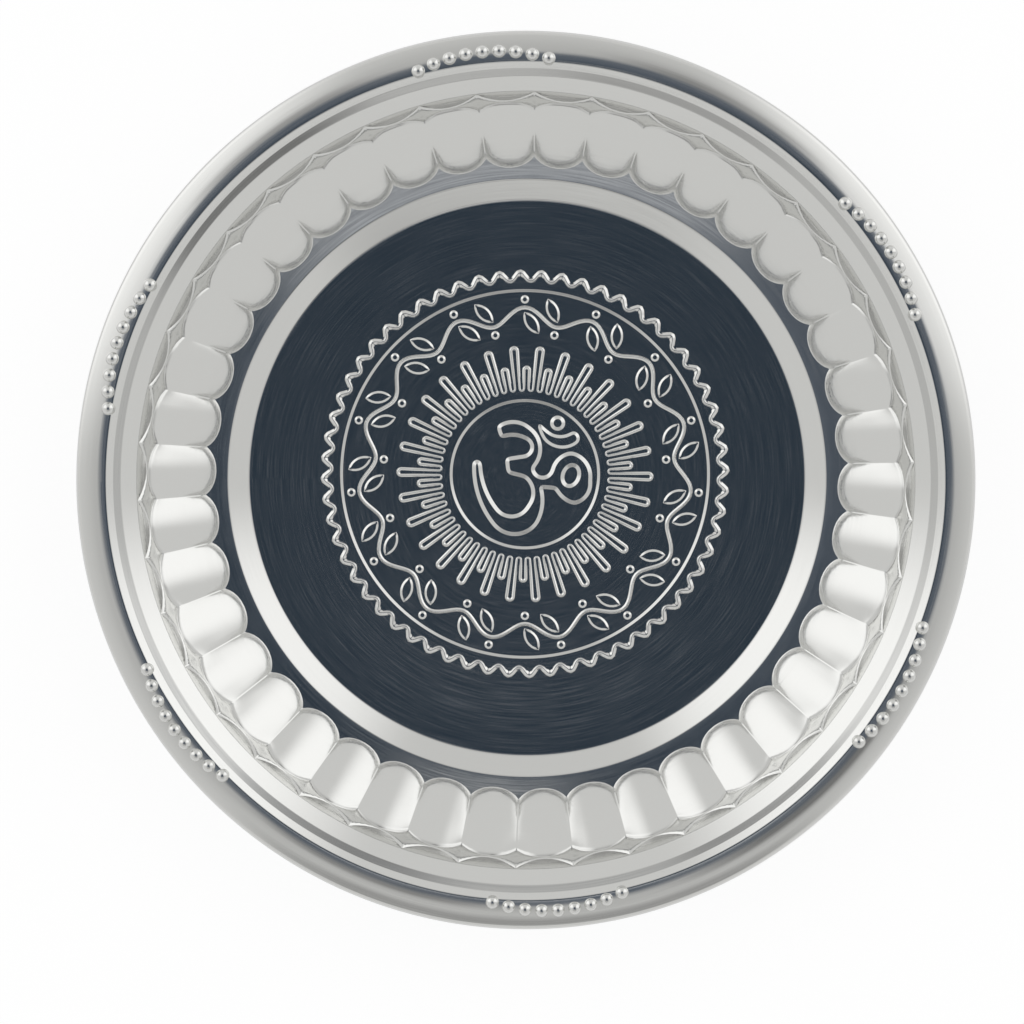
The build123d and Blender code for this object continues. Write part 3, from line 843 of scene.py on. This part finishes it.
def rimBeads():
    b = beadRow
    beads = meshObject("rim_beads", [(0, 0, 0)] * len(b["angles"]))
    angles = beads.data.attributes.new("angle", "FLOAT", "POINT").data
    for value, angle in zip(angles, b["angles"]):
        value.value = math.radians(angle)
    values = {"Count": b["count"], "Segments": b["segments"], "Rings": b["rings"], "Radius": b["radius"] * mm,
              "Pitch": b["pitch"] * mm, "End Radius": b["endRadius"] * mm, "Bow": b["bow"] * mm,
              "Height": b["height"] * mm, "Cut": b["cut"] * mm, "Finish": steel}
    return plainMesh(beads, beadTree(), values)


beads = rimBeads()
print("beads", len(beads.data.vertices), "points")

for piece in (sheet, beads):
    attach(piece, "root")
    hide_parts("pressed_plate")
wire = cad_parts["rim_wire"]
wire.data.materials.clear()
wire.data.materials.append(wireSteel)

# Studio light: soft panels to the left and right of the plate's top and a dim space over it. A reach runs
# from 0 overhead to 1 level with the table. Bars and dims: clockwise turn, where the patch begins, is full,
# stops being full and ends, how squarely it is faced at its edge and where it is full, and its strength.
studio = {
    "grey": (0.68, 0.68, 0.672), "panel": 0.46, "panelTurns": (-58.0, 57.0), "panelWide": (0.82, 1.0),
    "upper": 0.76, "upperReach": (0.5, 0.8),
    "dark": (0.026, 0.039, 0.056), "darkEdge": (0.1, 0.118, 0.146), "darkFade": (0.1, 0.25),
    "darkReach": (0.31, 0.42),
    "bars": (
        (180.0, (0.16, 0.18, 0.23, 0.26), (0.76, 0.86), 0.34),
        (0.0, (0.08, 0.1, 0.14, 0.16), (0.92, 0.98), 0.3),
    ),
    "dims": (
        (180.0, (0.62, 0.68, 0.72, 0.78), (0.72, 0.92), 0.5),
        (143.0, (0.3, 0.34, 0.48, 0.6), (0.93, 0.99), 0.65),
        (202.0, (0.3, 0.34, 0.44, 0.54), (0.95, 0.99), 0.5),
        (29.0, (0.3, 0.34, 0.46, 0.6), (0.93, 0.99), 0.5),
        (319.0, (0.3, 0.34, 0.46, 0.6), (0.95, 0.995), 0.55),
    ),
}


def studioWorld():
    world = bpy.data.worlds.new("studio")
    bpy.context.scene.world = world
    world.use_nodes = True
    tree = world.node_tree
    add = functools.partial(addNode, tree)
    s = studio
    way = add("ShaderNodeTexCoord").outputs["Generated"]
    flat = add("ShaderNodeVectorMath", (way, (1, 1, 0)), operation="MULTIPLY")
    level = add("ShaderNodeVectorMath", (flat,), operation="NORMALIZE")
    out = add("ShaderNodeVectorMath", (flat,), operation="LENGTH").outputs["Value"]

    # share of a patch to one side, all the way up or within a ring round the point overhead
    def patchShare(turn, wide, ring=None):
        towards = (*clockPoint(1, turn), 0)
        near = add("ShaderNodeVectorMath", (level, towards), operation="DOT_PRODUCT").outputs["Value"]
        edges = [(near, *wide)]
        if ring:
            edges += [(out, ring[0], ring[1]), (out, ring[3], ring[2])]
        share = 1.0
        for value, low, high in edges:
            edge = add("ShaderNodeMapRange", {"Value": value, "From Min": low, "From Max": high},
                       interpolation_type="SMOOTHSTEP")
            share = add("ShaderNodeMath", (share, edge), operation="MULTIPLY")
        return share

    glow = 0.0
    for turn in s["panelTurns"]:
        glow = add("ShaderNodeMath", (patchShare(turn, s["panelWide"]), s["panel"], glow),
                   operation="MULTIPLY_ADD")
    spread = add("ShaderNodeCombineXYZ", (glow, glow, glow))
    lit = add("ShaderNodeVectorMath", (s["grey"], spread), operation="ADD")
    clear, lower, edge = (
        add("ShaderNodeMapRange", {"Value": out, "From Min": low, "From Max": high},
            interpolation_type="SMOOTHSTEP")
        for low, high in (s["darkReach"], s["upperReach"], s["darkFade"]))

    # less light higher up and from the dim things round the plate
    dim = add("ShaderNodeMath", (lower, 1 - s["upper"], s["upper"]), operation="MULTIPLY_ADD")
    for turn, ring, wide, strength in s["dims"]:
        left = add("ShaderNodeMath", (patchShare(turn, wide, ring), -strength, 1), operation="MULTIPLY_ADD")
        dim = add("ShaderNodeMath", (dim, left), operation="MULTIPLY")
    dimmed = add("ShaderNodeVectorMath", {0: lit, "Scale": dim}, operation="SCALE")

    # dim space overhead, darkest in its middle, with two slim bars of light
    dark = add("ShaderNodeMix", {0: edge, 4: s["dark"], 5: s["darkEdge"]}, data_type="VECTOR").outputs[1]
    shade = add("ShaderNodeMix", {0: clear, 4: dark, 5: dimmed}, data_type="VECTOR").outputs[1]
    for turn, ring, wide, strength in s["bars"]:
        glow = add("ShaderNodeMath", (patchShare(turn, wide, ring), strength), operation="MULTIPLY")
        spread = add("ShaderNodeCombineXYZ", (glow, glow, glow))
        shade = add("ShaderNodeVectorMath", (shade, spread), operation="ADD").outputs[0]
    light = tree.nodes["Background"]
    tree.links.new(shade, light.inputs["Color"])
    white = add("ShaderNodeBackground", {"Color": (1, 1, 1, 1), "Strength": 1.0})
    seen = add("ShaderNodeLightPath").outputs["Is Camera Ray"]
    mix = add("ShaderNodeMixShader", (seen, light, white))
    tree.links.new(mix.outputs[0], tree.nodes["World Output"].inputs["Surface"])


# Table in matt white paint: plain white to the eye, dimmer in the steel, with a faint real shadow and a
# painted shadow in its glow where the plate closes it off
table = {
    "half": 4.0, "below": 0.05, "colour": "ededed", "rough": 0.8, "gloss": 0.1,
    "glow": 1.1, "seen": 0.82, "mirrored": 0.4,
    "shadowReach": 45.0, "shadowSoft": (0.05, 0.62), "shadowTone": 0.6, "shadowSamples": 16,
}


def paleFloor():
    t = table
    w, low = t["half"], -t["below"] * mm
    floor = meshObject("floor", [(-w, -w, low), (w, -w, low), (w, w, low), (-w, w, low)], [(0, 1, 2, 3)])
    material = bpy.data.materials.new("matt_white_paint")
    material.use_nodes = True
    tree = material.node_tree
    add = functools.partial(addNode, tree)
    shader = tree.nodes["Principled BSDF"]
    shader.inputs["Base Color"].default_value = hexColour(t["colour"])
    shader.inputs["Roughness"].default_value = t["rough"]
    shader.inputs["Specular IOR Level"].default_value = t["gloss"]
    # painted shadow: ambient occlusion darkens the table's glow where the plate is near
    closing = add("ShaderNodeAmbientOcclusion", {"Distance": t["shadowReach"] * mm},
                  samples=t["shadowSamples"])
    deep, clear = t["shadowSoft"]
    lit = add("ShaderNodeMapRange", {"Value": closing.outputs["AO"], "From Min": deep, "From Max": clear},
              interpolation_type="SMOOTHSTEP")
    darkest = t["glow"] * t["shadowTone"]
    strength = add("ShaderNodeMath", (lit, t["glow"] - darkest, darkest), operation="MULTIPLY_ADD")
    glow = add("ShaderNodeEmission", {"Color": (1, 1, 1, 1), "Strength": strength})
    path = add("ShaderNodeLightPath").outputs
    share = add("ShaderNodeMath", (path["Is Camera Ray"], t["seen"]), operation="MULTIPLY")
    share = add("ShaderNodeMath", (path["Is Glossy Ray"], t["mirrored"], share), operation="MULTIPLY_ADD")
    mix = add("ShaderNodeMixShader", (share, shader, glow))
    tree.links.new(mix.outputs[0], tree.nodes["Material Output"].inputs["Surface"])
    floor.data.materials.append(material)


# Camera over the plate in mm, aimed at the middle of its rim; the rim's middle and half width in pixels
overhead = {"side": 21.0, "up": 40.0, "distance": 950.0, "sensor": 36.0, "clip": 20.0,
            "picture": 1024, "rimMiddle": (524.5, 482.6), "rimHalf": 451.5}


def overheadCamera():
    o = overhead
    lens = bpy.data.cameras.new("overhead")
    camera = bpy.data.objects.new("overhead", lens)
    bpy.context.scene.collection.objects.link(camera)
    rimTop = sheetLine["high"][-1][0][1]
    camera.location = (o["side"] * mm, o["up"] * mm, (rimTop + o["distance"]) * mm)
    camera.rotation_euler = (-math.atan2(o["up"], o["distance"]), math.atan2(o["side"], o["distance"]), 0)
    lens.sensor_width = o["sensor"]
    lens.lens = lens.sensor_width * o["distance"] * o["rimHalf"] / (sheetLine["outer"] * o["picture"])
    lens.shift_x = 0.5 - o["rimMiddle"][0] / o["picture"]
    lens.shift_y = o["rimMiddle"][1] / o["picture"] - 0.5
    lens.clip_end = o["clip"]
    bpy.context.scene.camera = camera


studioWorld()
paleFloor()
overheadCamera()
bpy.context.scene.view_settings.view_transform = "Standard"
print("studio ready")
